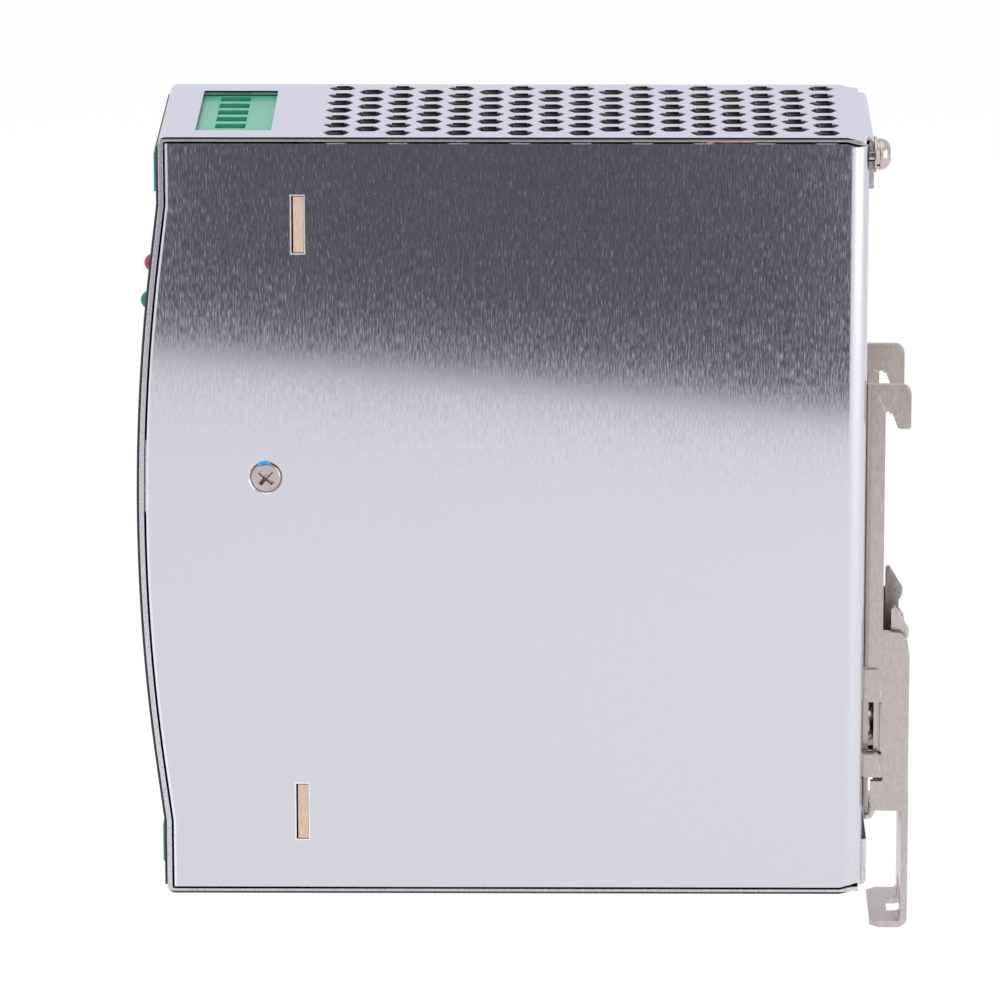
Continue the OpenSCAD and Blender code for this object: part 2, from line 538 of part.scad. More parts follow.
module block_part(x, y, z, r) {
  // moulded box with rounded corners, standing on the main board
  translate([mx + 0.3, (y[0] + y[1]) / 2, (z[0] + z[1]) / 2]) rotate([0, 90, 0]) linear_extrude(x) union() {
    square([z[1] - z[0] - 2 * r, y[1] - y[0]], center = true);
    square([z[1] - z[0], y[1] - y[0] - 2 * r], center = true);
    for (a = [-1, 1]) for (b = [-1, 1]) translate([a * ((z[1] - z[0]) / 2 - r), b * ((y[1] - y[0]) / 2 - r)]) circle(r = r);
  }
  for (s = [-1, 1]) cyl_x(0.4, mx, mx + 0.4, (y[0] + y[1]) / 2 + s * ((y[1] - y[0]) / 2 - 2.5), (z[0] + z[1]) / 2);
}
module film_capacitors() {
  color([0.86, 0.72, 0.20]) { block_part(20, [-87, -61], [-41, -31], 0.8); block_part(16, [-20, -10], [16, 34], 0.8); }
}
module y_capacitors() {
  color([0.15, 0.35, 0.65]) for (y = [-52, -45.5]) union() {
    translate([mx + 7, y, -50]) rotate([90, 0, 0]) cylinder(r = 4.2, h = 3, center = true);
    for (s = [-1, 1]) cyl_x(0.35, mx, mx + 4.5, y, -50 + s * 2.6);
  }
}
module bridge_rectifier() {
  color([0.13, 0.13, 0.14]) union() {
    bar([mx + 4, mx + 22], [-86, -64], [-27.5, -23]);
    for (i = [0:3]) cyl_x(0.5, mx, mx + 4.1, -82.5 + i * 5, -25);
  }
}
module can(d, h, y, z) {
  union() {
    cyl_x(d / 2, mx + 0.4, mx + h, y, z);
    translate([mx + 0.4 + 1.2, y, z]) rotate([0, 90, 0]) rotate_extrude($fn = 48) translate([d / 2 - 0.02, 0]) circle(r = 0.35, $fn = 16);
    for (s = [-1, 1]) cyl_x(0.4, mx, mx + 0.5, y + s * d * 0.22, z);
  }
}
module bulk_capacitors() { color([0.16, 0.17, 0.22]) for (y = [-47.5, -23]) can(bulk_d, 28, y, -19.5); }
module output_capacitors() { color([0.20, 0.16, 0.14]) for (y = [-68, -57, -46]) can(10, 24, y, 50); }
module to220(y, z, s) {
  // body against the heat sink face at z, on the side s
  translate([0, y, z]) scale([1, 1, 1]) {
    bar([mx + 8, mx + 23.5], [-5, 5], s > 0 ? [0.12, 4.3] : [-4.3, -0.12]);
    for (i = [-1:1]) bar([mx, mx + 8.1], [i * 2.54 - 0.4, i * 2.54 + 0.4], s > 0 ? [1.8, 2.3] : [-2.3, -1.8]);
  }
}
hs1 = [-4.6, -2.4]; hs2 = [36.8, 39];
module power_transistors() { color([0.10, 0.10, 0.11]) for (y = [-78, -64]) to220(y, hs1[0], -1); }
module output_diodes() { color([0.10, 0.10, 0.11]) for (y = [-66, -51, -36]) to220(y, hs2[0], -1); }
module heatsink(y, z, s) {
  union() {
    bar([mx + 0.4, mx + 28], y, z);
    bar([mx + 26.2, mx + 28], y, s > 0 ? [z[1] - e, z[1] + 4] : [z[0] - 4, z[0] + e]);
    for (yy = [y[0] + 4, y[1] - 4]) cyl_x(0.8, mx, mx + 0.5, yy, (z[0] + z[1]) / 2);
  }
}
module primary_heatsink() { color([0.62, 0.63, 0.65]) heatsink([-88, -58], hs1, 1); }
module secondary_heatsink() { color([0.62, 0.63, 0.65]) heatsink([-88, -31.5], hs2, 1); }
tr = [-39, 16];          // middle of the transformer, in Y and Z
module transformer_core() {
  color([0.20, 0.20, 0.21]) translate([mx + 3, tr[0], tr[1]]) difference() {
    bar([0, 25], [-17, 17], [-5.5, 5.5]);
    bar([3.6, 21.4], [-12.5, -5.6], [-7, 7]);
    bar([3.6, 21.4], [5.6, 12.5], [-7, 7]);
    bar([-1, 26], [-0.06, 0.06], [5, 6]);
  }
}
module transformer_winding() {
  // bobbin and taped winding round the middle leg
  color([0.86, 0.76, 0.28]) translate([mx + 3, tr[0], tr[1]]) difference() {
    union() {
      bar([4.6, 20.4], [-11.6, 11.6], [-13.5, 13.5]);
      bar([3.7, 4.7], [-12.3, 12.3], [-15, 15]);
      bar([20.3, 21.3], [-12.3, 12.3], [-15, 15]);
      for (s = [-1, 1]) bar([-2.9, 4.6], [-12.3, 12.3], s > 0 ? [9.5, 15] : [-15, -9.5]);
      for (s = [-1, 1]) for (i = [-2:2]) cyl_x(0.4, -3, -2.8, i * 4.6, s * 12.5);
    }
    bar([-3, 26], [-5.7, 5.7], [-5.6, 5.6]);
  }
}
module output_choke() {
  // toroid wound with thick copper wire
  color([0.78, 0.42, 0.20]) translate([mx + 11.2, -25, 48.5]) rotate([90, 0, 0]) ring(3.4, 10.2, 11, 2);
}
module control_chips() {
  color([0.12, 0.12, 0.13]) {
    for (p = [[-80, 8], [-80, 22], [-66, 8]]) union() {
      bar([mx + 0.2, mx + 3.6], [p[0] - 3.2, p[0] + 3.2], [p[1] - 4.6, p[1] + 4.6]);
      for (i = [-1.5:1:1.5]) for (s = [-1, 1]) bar([mx, mx + 1.8], [p[0] + s * 3.5 - 0.35, p[0] + s * 3.5 + 0.35], [p[1] + i * 2.54 - 0.25, p[1] + i * 2.54 + 0.25]);
    }
  }
}

chassis();
cover();
front_label();
din_bracket();
latch_slider();
latch_spring();
bracket_screws();
rear_screws();
rear_washers();
side_screws();
output_block();
output_contacts();
output_screw_1();
output_screw_2();
output_screw_3();
output_screw_4();
output_screw_5();
output_screw_6();
output_clamp_1();
output_clamp_2();
output_clamp_3();
output_clamp_4();
output_clamp_5();
output_clamp_6();
input_block();
input_contacts();
input_screw_1();
input_screw_2();
input_screw_3();
input_clamp_1();
input_clamp_2();
input_clamp_3();
terminal_board();
main_board();
board_standoffs();
insulating_sheet();
red_led();
green_led();
led_spacers();
trimmer_body();
trimmer_rotor();
fuse();
thermistor();
choke_core();
choke_winding();
film_capacitors();
y_capacitors();
bridge_rectifier();
bulk_capacitors();
power_transistors();
primary_heatsink();
transformer_core();
transformer_winding();
output_diodes();
secondary_heatsink();
output_choke();
output_capacitors();
control_chips();
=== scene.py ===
import bpy, bmesh, math, json, random
from mathutils import Vector, Matrix, noise


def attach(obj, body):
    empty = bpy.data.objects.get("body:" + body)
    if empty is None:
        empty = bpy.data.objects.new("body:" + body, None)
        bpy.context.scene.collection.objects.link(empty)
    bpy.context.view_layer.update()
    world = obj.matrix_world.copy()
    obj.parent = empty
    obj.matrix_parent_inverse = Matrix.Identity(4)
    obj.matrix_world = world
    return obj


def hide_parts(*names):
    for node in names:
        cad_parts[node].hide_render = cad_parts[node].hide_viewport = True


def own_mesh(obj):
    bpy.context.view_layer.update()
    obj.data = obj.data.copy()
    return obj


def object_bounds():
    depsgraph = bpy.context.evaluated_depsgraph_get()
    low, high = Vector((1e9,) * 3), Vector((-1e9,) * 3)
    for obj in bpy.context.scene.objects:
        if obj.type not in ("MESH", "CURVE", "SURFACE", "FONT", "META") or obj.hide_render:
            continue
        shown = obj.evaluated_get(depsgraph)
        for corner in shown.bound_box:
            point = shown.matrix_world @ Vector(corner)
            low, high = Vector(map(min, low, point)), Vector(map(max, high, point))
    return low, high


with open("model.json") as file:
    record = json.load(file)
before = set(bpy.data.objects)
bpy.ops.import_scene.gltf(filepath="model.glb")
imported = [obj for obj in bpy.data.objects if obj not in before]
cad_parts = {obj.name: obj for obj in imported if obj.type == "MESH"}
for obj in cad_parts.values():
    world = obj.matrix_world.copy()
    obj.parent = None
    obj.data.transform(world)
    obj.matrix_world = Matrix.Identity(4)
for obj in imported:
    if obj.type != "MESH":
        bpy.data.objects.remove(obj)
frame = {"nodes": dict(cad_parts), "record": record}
lo0, hi0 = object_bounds()
N = frame["nodes"]
MM = 0.001

# ------------------------------------------------------------------ camera
cam_d = bpy.data.cameras.new("camera")
cam = bpy.data.objects.new("camera", cam_d)
bpy.context.scene.collection.objects.link(cam)
yaw, pitch, roll = math.radians(0.645), math.radians(15.159), math.radians(-0.082)
right = Vector((-math.sin(yaw), math.cos(yaw), 0))
fwd = Vector((-math.cos(yaw), -math.sin(yaw), 0))
up = Vector((0, 0, 1))
f2 = math.cos(pitch) * fwd - math.sin(pitch) * up
u2 = math.sin(pitch) * fwd + math.cos(pitch) * up
r3 = math.cos(roll) * right + math.sin(roll) * u2
u3 = -math.sin(roll) * right + math.cos(roll) * u2
cam.matrix_world = Matrix(((r3.x, u3.x, -f2.x, 1.1723), (r3.y, u3.y, -f2.y, -0.0486), (r3.z, u3.z, -f2.z, 0.3170), (0, 0, 0, 1)))
cam_d.sensor_width = 36.0
cam_d.lens = 269.5
cam_d.clip_start = 0.05
cam_d.clip_end = 60
bpy.context.scene.camera = cam
bpy.context.scene.view_settings.view_transform = "Standard"


# ------------------------------------------------------------------ node helpers
class Mat:
    """A small builder for one procedural material."""
    def __init__(self, name):
        self.m = bpy.data.materials.new(name)
        self.m.use_nodes = True
        self.t = self.m.node_tree
        self.t.nodes.clear()
        self.out = self.t.nodes.new("ShaderNodeOutputMaterial")
        self.p = self.t.nodes.new("ShaderNodeBsdfPrincipled")
        self.t.links.new(self.p.outputs[0], self.out.inputs[0])
        self.co = self.t.nodes.new("ShaderNodeTexCoord")

    def n(self, kind, **kw):
        x = self.t.nodes.new(kind)
        for k, v in kw.items():
            setattr(x, k, v)
        return x

    def link(self, a, b):
        self.t.links.new(a, b)

    def set(self, **kw):
        for k, v in kw.items():
            s = self.p.inputs[k.replace("_", " ")]
            if hasattr(v, "is_output") or isinstance(v, bpy.types.NodeSocket):
                self.link(v, s)
            else:
                s.default_value = (*v, 1.0) if isinstance(v, tuple) and len(v) == 3 else v
        return self

    def scaled(self, sx, sy, sz, off=(0, 0, 0), rot=(0, 0, 0)):
        m = self.n("ShaderNodeMapping")
        m.inputs["Scale"].default_value = (sx, sy, sz)
        m.inputs["Location"].default_value = off
        m.inputs["Rotation"].default_value = rot
        self.link(self.co.outputs["Object"], m.inputs["Vector"])
        return m.outputs[0]

    def noise(self, vec, scale=1.0, detail=3.0, rough=0.55, distort=0.0):
        x = self.n("ShaderNodeTexNoise")
        x.inputs["Scale"].default_value = scale
        x.inputs["Detail"].default_value = detail
        x.inputs["Roughness"].default_value = rough
        x.inputs["Distortion"].default_value = distort
        self.link(vec, x.inputs["Vector"])
        return x.outputs["Fac"]

    def voronoi(self, vec, scale=1.0, feature="F1"):
        x = self.n("ShaderNodeTexVoronoi", feature=feature)
        x.inputs["Scale"].default_value = scale
        self.link(vec, x.inputs["Vector"])
        return x.outputs["Distance"]

    def wave(self, vec, scale=1.0, distort=0.0, axis="X"):
        x = self.n("ShaderNodeTexWave", bands_direction=axis)
        x.inputs["Scale"].default_value = scale
        x.inputs["Distortion"].default_value = distort
        self.link(vec, x.inputs["Vector"])
        return x.outputs["Fac"]

    def ramp(self, fac, stops):
        x = self.n("ShaderNodeValToRGB")
        e = x.color_ramp.elements
        while len(e) < len(stops):
            e.new(0.5)
        for el, (p, c) in zip(e, stops):
            el.position = p
            el.color = (*c, 1) if isinstance(c, tuple) else (c, c, c, 1)
        self.link(fac, x.inputs[0])
        return x.outputs[0]

    def map(self, fac, a, b, c, d, clamp=True):
        x = self.n("ShaderNodeMapRange", clamp=clamp)
        for i, v in enumerate((a, b, c, d)):
            x.inputs[i + 1].default_value = v
        self.link(fac, x.inputs[0])
        return x.outputs[0]

    def math(self, op, a, b=None, clamp=False):
        x = self.n("ShaderNodeMath", operation=op, use_clamp=clamp)
        for i, v in enumerate((a, b)):
            if v is None:
                continue
            if isinstance(v, (int, float)):
                x.inputs[i].default_value = v
            else:
                self.link(v, x.inputs[i])
        return x.outputs[0]

    def mix(self, fac, a, b, mode="MIX"):
        x = self.n("ShaderNodeMix", data_type="RGBA", blend_type=mode)
        for s, v in ((x.inputs[0], fac), (x.inputs[6], a), (x.inputs[7], b)):
            if isinstance(v, (int, float)):
                s.default_value = v
            elif isinstance(v, tuple):
                s.default_value = (*v, 1)
            else:
                self.link(v, s)
        return x.outputs[2]

    def bump(self, h, strength=0.3, dist=0.0001, base=None):
        x = self.n("ShaderNodeBump")
        x.inputs["Strength"].default_value = strength
        x.inputs["Distance"].default_value = dist
        self.link(h, x.inputs["Height"])
        if base is not None:
            self.link(base, x.inputs["Normal"])
        return x.outputs[0]

    def xyz(self, which="Object"):
        s = self.n("ShaderNodeSeparateXYZ")
        self.link(self.co.outputs[which], s.inputs[0])
        return s.outputs

    def tangent(self, axis="Z"):
        t = self.n("ShaderNodeTangent", direction_type="RADIAL", axis=axis)
        self.link(t.outputs[0], self.p.inputs["Tangent"])


def brushed(name, base, rough, along="Z", aniso=0.75, fine=5200, longr=260, var=0.06, rvar=0.10, bump=0.05, smudge=0.02):
    """Brushed sheet: streaks along one axis, a little cloud of handling marks over it."""
    m = Mat(name)
    s = [fine, fine, fine]
    s["XYZ".index(along)] = longr
    a = m.noise(m.scaled(*s), 1.0, 4.0, 0.62)
    s2 = [v * 0.32 for v in s]
    b = m.noise(m.scaled(*s2, off=(3.1, 7.7, 1.3)), 1.0, 3.0, 0.5)
    st = m.math("ADD", m.math("MULTIPLY", a, 0.65), m.math("MULTIPLY", b, 0.35))
    cloud = m.noise(m.scaled(38, 38, 38), 1.0, 4.0, 0.6)
    lo = tuple(c * (1 - var) for c in base)
    hi = tuple(min(1, c * (1 + var)) for c in base)
    col = m.mix(m.map(st, 0.3, 0.7, 0, 1), lo, hi)
    r0 = m.map(st, 0.32, 0.70, max(0.03, rough - rvar), rough + rvar)
    r1 = m.math("ADD", r0, m.map(cloud, 0.4, 0.75, 0, smudge))
    m.set(Base_Color=col, Metallic=1.0, Roughness=r1, Anisotropic=aniso)
    m.link(m.bump(st, bump, 0.00002), m.p.inputs["Normal"])
    m.tangent("Z")
    return m.m


def plated(name, base, rough=0.3, grain=2400, spot=0.12, bump=0.12, dark=(0.30, 0.26, 0.22), line_z=None):
    """Nickel or zinc plated pressed steel: fine orange peel, small pits, warm stains in the hollows."""
    m = Mat(name)
    v = m.scaled(grain, grain, grain * 0.45)
    a = m.noise(v, 1.0, 5.0, 0.65)
    c = m.noise(m.scaled(170, 170, 110), 1.0, 4.0, 0.6)
    pits = m.voronoi(m.scaled(1500, 1500, 1500), 1.0)
    col = m.mix(m.map(a, 0.35, 0.7, 0, 1), tuple(x * 0.86 for x in base), tuple(min(1, x * 1.10) for x in base))
    col = m.mix(m.map(c, 0.52, 0.78, 0, spot * 2.2), col, dark)
    col = m.mix(m.map(pits, 0.0, 0.16, spot * 1.6, 0), col, dark)
    m.set(Base_Color=col, Metallic=1.0, Roughness=m.map(a, 0.3, 0.75, rough - 0.06, rough + 0.12))
    m.link(m.bump(a, bump, 0.00003), m.p.inputs["Normal"])
    return m.m


def plastic(name, base, rough=0.45, grain=2600, var=0.07, bump=0.08, spec=0.5, coat=0.0, sub=0.0, cloud=0.06):
    """Moulded plastic: fine spark texture, slight unevenness of colour."""
    m = Mat(name)
    a = m.noise(m.scaled(grain, grain, grain), 1.0, 3.0, 0.6)
    c = m.noise(m.scaled(90, 90, 90), 1.0, 3.0, 0.5)
    col = m.mix(m.map(c, 0.35, 0.7, 0, 1), tuple(x * (1 - cloud) for x in base), tuple(min(1, x * (1 + cloud)) for x in base))
    col = m.mix(m.map(a, 0.35, 0.65, 0, var), col, tuple(x * 0.6 for x in base))
    m.set(Base_Color=col, Roughness=m.map(a, 0.3, 0.7, rough - 0.05, rough + 0.07), Specular_IOR_Level=spec)
    if coat:
        m.set(Coat_Weight=coat, Coat_Roughness=0.12)
    if sub:
        m.set(Subsurface_Weight=sub, Subsurface_Scale=0.002)
    m.link(m.bump(a, bump, 0.00003), m.p.inputs["Normal"])
    return m.m


def cover_mat():
    """Smooth bright sheet; its sheared edges show a burnished and a torn, darker band. Along the top and bottom lips
    the edge is painted near black as a painted dark reflection.
    """
    m = Mat("case_cover_steel")
    nx, ny, nz = m.xyz("Normal")[:3]
    x, y, z = m.xyz("Object")[:3]
    s1 = m.noise(m.scaled(3800, 420, 3800), 1.0, 4.0, 0.6)
    cloud = m.noise(m.scaled(30, 30, 30), 1.0, 4.0, 0.6)
    torn = m.noise(m.scaled(1400, 2600, 2600), 1.0, 4.0, 0.7)
    col = m.mix(m.map(s1, 0.3, 0.7, 0, 1), (0.625, 0.618, 0.690), (0.650, 0.643, 0.715))
    cut = m.math("GREATER_THAN", m.math("ABSOLUTE", nx), 0.85)
    edge = m.mix(m.map(torn, 0.34, 0.56, 0, 1), (0.46, 0.435, 0.42), (0.66, 0.635, 0.62))
    # painted dark reflection: the sheared edge along the top and bottom lips of the cover is painted near black
    lip = m.math("MAXIMUM", m.math("GREATER_THAN", z, 0.06358), m.math("LESS_THAN", z, -0.06078))
    edge = m.mix(m.math("MULTIPLY", lip, 0.9), edge, (0.035, 0.032, 0.032))
    # painted shade: the inner faces of the cover (top, bottom and front) are painted dark grey
    inner_painted_shade = m.math("MAXIMUM", m.math("LESS_THAN", m.math("MULTIPLY", z, nz), -0.05),
                   m.math("MULTIPLY", m.math("GREATER_THAN", ny, 0.7), m.math("LESS_THAN", y, -0.10)))
    col = m.mix(inner_painted_shade, col, (0.14, 0.135, 0.13))
    m.set(Base_Color=m.mix(cut, col, edge), Metallic=1.0,
          Roughness=m.math("ADD", m.math("ADD", m.map(s1, 0.3, 0.7, 0.22, 0.29), m.map(cloud, 0.4, 0.75, 0, 0.03)), m.math("MULTIPLY", cut, 0.12)))
    m.link(m.bump(m.mix(cut, s1, torn), 0.05, 0.00004), m.p.inputs["Normal"])
    return m.m


M = {}
def side_mat():
    """Bright rolled sheet with a short vertical grain: the grain only shows where it scatters light into a dark reflection."""
    m = Mat("case_side_steel")
    x, y, z = m.xyz("Object")[:3]
    nx = m.xyz("Normal")[0]
    # the sheared outline is rolled over along the bowed front edge and round the two slots; this mask paints a
    # near-white highlight there and raises the roughness
    ym = m.math("MULTIPLY", y, 1000.0)
    zm = m.math("MULTIPLY", z, 1000.0)
    dz = m.math("ABSOLUTE", m.math("SUBTRACT", zm, 2.0))
    arc = m.math("SUBTRACT", 3.75, m.math("DIVIDE", m.math("MULTIPLY", dz, dz), 670.0))
    flat = m.math("MAXIMUM", m.math("SUBTRACT", 1.117, m.math("MULTIPLY", m.math("SUBTRACT", dz, 42.0), 0.12537)), 0.0)
    near = m.math("LESS_THAN", dz, 42.0)
    bow = m.math("ADD", m.math("MULTIPLY", near, arc), m.math("MULTIPLY", m.math("SUBTRACT", 1.0, near), flat))
    front = m.math("ADD", m.math("ADD", ym, 114.3), bow)
    dy = m.math("SUBTRACT", m.math("ABSOLUTE", m.math("ADD", ym, 93.525)), 0.975)
    d1 = m.math("MAXIMUM", dy, m.math("SUBTRACT", m.math("ABSOLUTE", m.math("SUBTRACT", zm, 49.8)), 4.65))
    d2 = m.math("MAXIMUM", dy, m.math("SUBTRACT", m.math("ABSOLUTE", m.math("ADD", zm, 47.3)), 4.65))
    roll = m.math("MAXIMUM", m.map(front, 0.26, 0.42, 1, 0), m.map(m.math("MINIMUM", d1, d2), 0.14, 0.28, 1, 0))
    g = m.noise(m.scaled(5400, 5400, 720), 1.0, 2.0, 0.5)
    h = m.noise(m.scaled(3000, 3000, 240, (2.2, 5.1, 0.7)), 1.0, 3.0, 0.55)
    cloud = m.noise(m.scaled(34, 34, 34), 1.0, 4.0, 0.6)
    mark = m.noise(m.scaled(150, 150, 420, (7, 1, 3)), 1.0, 4.0, 0.7)
    st = m.math("ADD", m.math("MULTIPLY", g, 0.72), m.math("MULTIPLY", h, 0.28))
    r = m.math("ADD", m.map(st, 0.43, 0.72, 0.125, 0.315), m.map(cloud, 0.45, 0.8, 0, 0.02))
    r = m.math("ADD", m.math("ADD", r, m.map(mark, 0.66, 0.78, 0, 0.06)), m.math("MULTIPLY", roll, 0.42))
    col = m.mix(m.map(st, 0.35, 0.65, 0, 1), (0.586, 0.581, 0.600), (0.607, 0.602, 0.621))
    inner_painted_shade = m.math("LESS_THAN", m.math("MULTIPLY", x, nx), -0.010)
    # painted highlight: the rolled-over outline is painted near white
    col = m.mix(roll, col, (0.85, 0.85, 0.855))
    # painted shade: the inner faces of the side panels are painted dark grey
    col = m.mix(inner_painted_shade, col, (0.14, 0.135, 0.13))
    m.set(Base_Color=col, Metallic=1.0, Roughness=r, Anisotropic=0.5)
    m.link(m.bump(st, 0.06, 0.00003), m.p.inputs["Normal"])
    m.tangent("Z")
    return m.m


M["case_side"] = side_mat()
M["case_cover"] = cover_mat()
M["clip_steel"] = plated("clip_nickel", (0.505, 0.445, 0.412), 0.33)
M["slider_steel"] = plated("slider_nickel", (0.52, 0.47, 0.44), 0.29, 2000, 0.16, 0.10)
M["spring_steel"] = plated("spring_wire", (0.50, 0.50, 0.52), 0.24, 3500, 0.05, 0.05)
M["screw_steel"] = plated("screw_nickel", (0.53, 0.455, 0.425), 0.19, 3200, 0.05, 0.04)
M["clamp_steel"] = plated("clamp_zinc", (0.62, 0.61, 0.58), 0.32, 3000, 0.08, 0.08)
M["contact_tin"] = plated("contact_tin", (0.72, 0.70, 0.64), 0.30, 3200, 0.05, 0.06)
M["terminal_green"] = plastic("terminal_green", (0.055, 0.40, 0.235), 0.34, 2400, 0.06, 0.05, 0.5, 0.15)
M["nylon"] = plastic("nylon", (0.74, 0.71, 0.58), 0.45, 1800, 0.05, 0.05, 0.5, 0, 0.2)
M["insulation"] = plastic("insulation_sheet", (0.82, 0.79, 0.68), 0.40, 900, 0.04, 0.03)
M["black_plastic"] = plastic("black_plastic", (0.03, 0.03, 0.033), 0.45)
M["blue_plastic"] = plastic("blue_plastic", (0.04, 0.15, 0.50), 0.38)
M["white_plastic"] = plastic("white_plastic", (0.80, 0.78, 0.72), 0.42)
M["fuse_ceramic"] = plastic("fuse_ceramic", (0.78, 0.76, 0.68), 0.30)
M["thermistor_black"] = plastic("thermistor_coat", (0.05, 0.06, 0.055), 0.35, 1400, 0.1, 0.15)
M["ferrite"] = plastic("ferrite", (0.055, 0.055, 0.06), 0.55, 2600, 0.2, 0.2)
M["yellow_plastic"] = plastic("film_capacitor_box", (0.72, 0.50, 0.08), 0.38)
M["blue_ceramic"] = plastic("ceramic_disc", (0.05, 0.18, 0.42), 0.30, 1500, 0.08, 0.12)
M["epoxy_black"] = plastic("epoxy_black", (0.028, 0.028, 0.031), 0.5, 3000, 0.2, 0.15)


def board_mat():
    m = Mat("circuit_board")
    nx, ny, nz = m.xyz("Normal")[:3]
    x, y, z = m.xyz("Object")[:3]
    # solder mask on the flat faces, glass fibre on the cut edges
    weave = m.math("MULTIPLY", m.wave(m.scaled(1, 1, 1), 900, 0.3, "X"), m.wave(m.scaled(1, 1, 1), 900, 0.3, "Z"))
    cells = m.voronoi(m.scaled(220, 220, 150), 1.0, "DISTANCE_TO_EDGE")
    mask = m.mix(m.map(cells, 0.02, 0.06, 1, 0), (0.018, 0.145, 0.055), (0.035, 0.22, 0.09))
    pads = m.voronoi(m.scaled(320, 320, 320), 1.0)
    mask = m.mix(m.map(pads, 0.10, 0.16, 0.55, 0), mask, (0.60, 0.56, 0.44))
    fib = m.noise(m.scaled(300, 5200, 700), 1.0, 4.0, 0.6)
    edge = m.mix(m.map(fib, 0.3, 0.7, 0, 1), (0.47, 0.34, 0.215), (0.72, 0.55, 0.40))
    ax = m.math("ABSOLUTE", nx)
    az = m.math("ABSOLUTE", nz)
    return m, mask, edge, ax, az, fib


def tb_mat():
    m, mask, edge, ax, az, fib = board_mat()
    cut = m.math("GREATER_THAN", m.math("MAXIMUM", ax, az), 0.6)
    m.set(Base_Color=m.mix(cut, mask, edge), Roughness=m.map(fib, 0.3, 0.7, 0.32, 0.6))
    m.link(m.bump(fib, 0.25, 0.00004), m.p.inputs["Normal"])
    m.m.name = "terminal_board_fr4"
    return m.m


def mb_mat():
    m, mask, edge, ax, az, fib = board_mat()
    cut = m.math("LESS_THAN", ax, 0.6)
    m.set(Base_Color=m.mix(cut, mask, edge), Roughness=m.map(fib, 0.3, 0.7, 0.30, 0.5))
    m.link(m.bump(fib, 0.12, 0.00004), m.p.inputs["Normal"])
    m.m.name = "main_board_fr4"
    return m.m


def label_mat():
    m = Mat("front_overlay")
    x, y, z = m.xyz("Object")[:3]
    a = m.noise(m.scaled(3200, 3200, 3200), 1.0, 2.0, 0.5)
    # printed fields: a pale panel inside a slate border, with a darker band round the lamps
    ax = m.math("ABSOLUTE", x)
    inside = m.math("LESS_THAN", ax, 0.0172)
    zt = m.math("LESS_THAN", z, 0.0505)
    zb = m.math("GREATER_THAN", z, -0.0485)
    field = m.math("MULTIPLY", m.math("MULTIPLY", inside, zt), zb)
    band = m.math("MULTIPLY", m.math("GREATER_THAN", z, 0.0300), m.math("LESS_THAN", z, 0.0470))
    ny = m.math("LESS_THAN", m.xyz("Normal")[1], -0.5)
    pale = m.mix(m.map(a, 0.3, 0.7, 0, 1), (0.60, 0.62, 0.64), (0.66, 0.68, 0.70))
    slate = m.mix(m.map(a, 0.3, 0.7, 0, 1), (0.060, 0.075, 0.105), (0.080, 0.098, 0.130))
    mid = m.mix(m.map(a, 0.3, 0.7, 0, 1), (0.20, 0.25, 0.31), (0.23, 0.28, 0.34))
    col = m.mix(m.math("MULTIPLY", field, ny), slate, pale)
    col = m.mix(m.math("MULTIPLY", m.math("MULTIPLY", band, inside), ny), col, mid)
    m.set(Base_Color=col, Roughness=m.map(a, 0.3, 0.7, 0.42, 0.55))
    m.link(m.bump(a, 0.10, 0.00002), m.p.inputs["Normal"])
    return m.m


def led_mat(name, col):
    m = Mat(name)
    a = m.noise(m.scaled(500, 500, 500), 1.0, 2.0, 0.5)
    c = m.mix(m.map(a, 0.3, 0.7, 0, 1), tuple(v * 0.85 for v in col), col)
    m.set(Base_Color=c, Roughness=m.map(a, 0.3, 0.7, 0.10, 0.18), Transmission_Weight=0.25, IOR=1.5, Coat_Weight=0.5, Coat_Roughness=0.05)
    return m.m


def sleeve_mat(name, col, stripe, axis_c):
    """Shrink sleeve of a capacitor that lies along X, with a pale stripe and bare metal on the end."""
    m = Mat(name)
    nx, ny, nz = m.xyz("Normal")[:3]
    x, y, z = m.xyz("Object")[:3]
    a = m.noise(m.scaled(700, 700, 700), 1.0, 3.0, 0.5)
    body = m.mix(m.map(a, 0.3, 0.7, 0, 1), tuple(v * 0.8 for v in col), col)
    st = m.math("MULTIPLY", m.math("GREATER_THAN", ny, 0.80), m.math("LESS_THAN", m.math("ABSOLUTE", nx), 0.4))
    body = m.mix(m.math("MULTIPLY", st, 0.85), body, stripe)
    end = m.math("GREATER_THAN", nx, 0.7)
    m.set(Base_Color=m.mix(end, body, (0.62, 0.62, 0.63)), Metallic=m.math("MULTIPLY", end, 1.0), Roughness=m.map(a, 0.3, 0.7, 0.22, 0.36))
    m.link(m.bump(a, 0.08, 0.00005), m.p.inputs["Normal"])
    return m.m


def copper_mat():
    m = Mat("enamelled_copper")
    a = m.noise(m.scaled(900, 900, 900), 1.0, 3.0, 0.5)
    m.set(Base_Color=m.mix(m.map(a, 0.3, 0.7, 0, 1), (0.50, 0.17, 0.06), (0.72, 0.30, 0.12)), Metallic=0.85, Roughness=m.map(a, 0.3, 0.7, 0.22, 0.36), Coat_Weight=0.6, Coat_Roughness=0.1)
    m.link(m.bump(a, 0.06, 0.00004), m.p.inputs["Normal"])
    return m.m


def tape_mat():
    m = Mat("winding_tape")
    a = m.noise(m.scaled(600, 600, 600), 1.0, 3.0, 0.5)
    w = m.wave(m.scaled(1, 1, 1), 260, 1.2, "Z")
    m.set(Base_Color=m.mix(m.map(w, 0.35, 0.65, 0, 0.5), (0.70, 0.50, 0.07), (0.52, 0.35, 0.05)), Roughness=m.map(a, 0.3, 0.7, 0.25, 0.4))
    m.link(m.bump(w, 0.25, 0.00008), m.p.inputs["Normal"])
    return m.m


